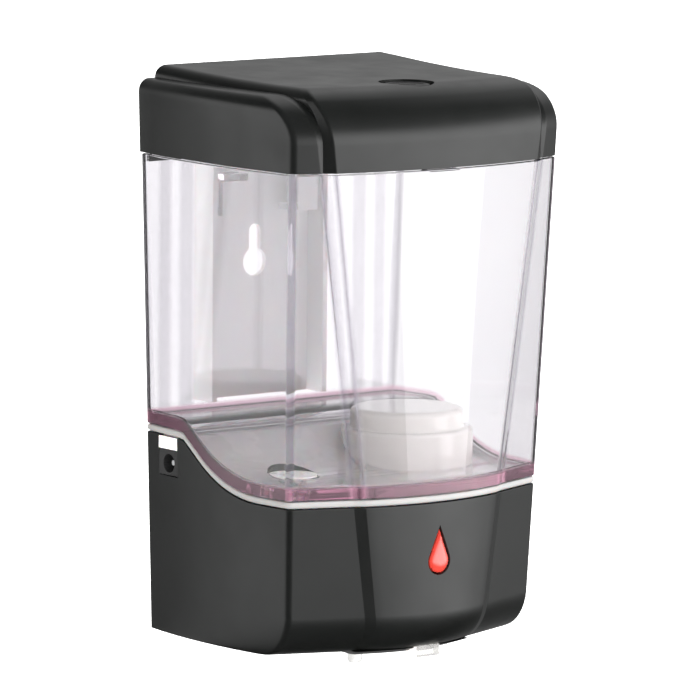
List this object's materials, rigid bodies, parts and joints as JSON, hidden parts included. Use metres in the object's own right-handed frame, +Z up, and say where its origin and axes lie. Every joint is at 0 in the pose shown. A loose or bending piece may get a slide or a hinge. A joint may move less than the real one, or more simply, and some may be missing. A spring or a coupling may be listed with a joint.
{
  "type": "wall mounted soap dispenser",
  "caption": "Wall mounted touch-free liquid soap dispenser with a clear tank, hinged locking lid, black pump base and hanging plate.",
  "frame": {"origin": "on the wall plate's back face, 115 mm above the underside of the base, on the plate's centre line", "axes": "+Z up, -Y out of the wall towards the user, +X to the right of a user who faces the wall"},
  "size_m": [0.1258, 0.1164, 0.2156],
  "materials": {
    "satin_black": "satin moulded ABS",
    "clear_tank": "clear polycarbonate with a faint violet tint",
    "white_abs": "white moulded ABS",
    "plate_grey": "light grey moulded plastic",
    "seal_white": "white silicone seal",
    "silicone": "translucent silicone",
    "red_lens": "transparent red plastic",
    "smoke_lens": "translucent plastic",
    "board_green": "circuit board",
    "chip_black": "moulded package",
    "bright_steel": "zinc plated steel",
    "nickel": "nickel plated spring steel",
    "cell_jacket": "printed cell jacket without marks",
    "inner_black": "black moulded plastic"
  },
  "bodies": {
    "wall_mount": {"wall_plate": "plate_grey"},
    "dispenser": {"tank": "clear_tank", "rim_seal": "seal_white", "chassis": "white_abs", "inlet_filter": "white_abs", "base_shell": "satin_black", "lid_hinge_pin": "bright_steel", "pump_housing": "white_abs", "gearbox": "inner_black", "motor": "bright_steel", "pump_screw_1": "bright_steel", "pump_screw_2": "bright_steel", "pump_tube": "silicone", "feed_tube": "silicone", "outlet_tube": "silicone", "nozzle": "silicone", "nozzle_collar": "inner_black", "battery_holder": "inner_black", "door_pin": "bright_steel", "dc_jack": "inner_black", "jack_pin": "bright_steel", "switch_body": "inner_black", "main_pcb": "board_green", "pcb_chip": "chip_black", "sensor_pcb": "board_green", "ir_emitter": "smoke_lens", "ir_receiver": "smoke_lens", "sensor_window": "smoke_lens", "led_pcb": "board_green", "status_led": "red_lens", "drop_window": "red_lens", "battery_1": "cell_jacket", "battery_spring_1": "nickel", "base_screw_1": "bright_steel", "battery_2": "cell_jacket", "base_screw_2": "bright_steel", "battery_3": "cell_jacket", "battery_spring_3": "nickel", "base_screw_3": "bright_steel", "battery_4": "cell_jacket", "base_screw_4": "bright_steel", "top_contact_1": "nickel", "top_contact_2": "nickel"},
    "lid": {"top_lid": "satin_black", "lock_nut": "bright_steel"},
    "lock": {"lock_plug": "inner_black", "lock_cam": "bright_steel", "lock_screw": "bright_steel"},
    "pump_drive": {"pump_rotor": "white_abs", "motor_shaft": "bright_steel"},
    "pump_roller_1": {"roller_1": "silicone"},
    "pump_roller_2": {"roller_2": "silicone"},
    "pump_roller_3": {"roller_3": "silicone"},
    "battery_cover": {"battery_door": "satin_black", "door_contact_1": "nickel", "door_contact_2": "nickel", "battery_spring_2": "nickel", "battery_spring_4": "nickel"},
    "power_switch": {"switch_knob": "inner_black"}
  },
  "joints": [
    {"name": "hang_slide", "type": "slide", "parent": "wall_mount", "child": "dispenser", "axis": [0, 0, 1], "range_m": [0, 0.012]},
    {"name": "lid_hinge", "type": "hinge", "parent": "dispenser", "child": "lid", "pos_m": [0, -0.0168, 0.082], "axis": [-1, 0, 0], "range_deg": [0, 90]},
    {"name": "lock_turn", "type": "hinge", "parent": "lid", "child": "lock", "pos_m": [0, -0.092, 0.0861], "axis": [0, 0, -1], "range_deg": [0, 90]},
    {"name": "battery_door_hinge", "type": "hinge", "parent": "dispenser", "child": "battery_cover", "pos_m": [0, -0.0194, -0.1137], "axis": [1, 0, 0], "range_deg": [0, 95]},
    {"name": "switch_slide", "type": "slide", "parent": "dispenser", "child": "power_switch", "axis": [1, 0, 0], "range_m": [0, 0.003]},
    {"name": "rotor_spin", "type": "hinge", "parent": "dispenser", "child": "pump_drive", "pos_m": [0.024, -0.0631, -0.085], "axis": [0, 0, 1], "continuous": true},
    {"name": "roller_1_spin", "type": "hinge", "parent": "pump_drive", "child": "pump_roller_1", "pos_m": [0.03189, -0.06023, -0.085], "axis": [0, 0, 1], "continuous": true},
    {"name": "roller_2_spin", "type": "hinge", "parent": "pump_drive", "child": "pump_roller_2", "pos_m": [0.01757, -0.0577, -0.085], "axis": [0, 0, 1], "continuous": true},
    {"name": "roller_3_spin", "type": "hinge", "parent": "pump_drive", "child": "pump_roller_3", "pos_m": [0.02254, -0.07137, -0.085], "axis": [0, 0, 1], "continuous": true}
  ],
  "couplings": [
    {"joint": "roller_1_spin", "follows": "rotor_spin", "ratio": -3.2},
    {"joint": "roller_2_spin", "follows": "rotor_spin", "ratio": -3.2},
    {"joint": "roller_3_spin", "follows": "rotor_spin", "ratio": -3.2}
  ]
}
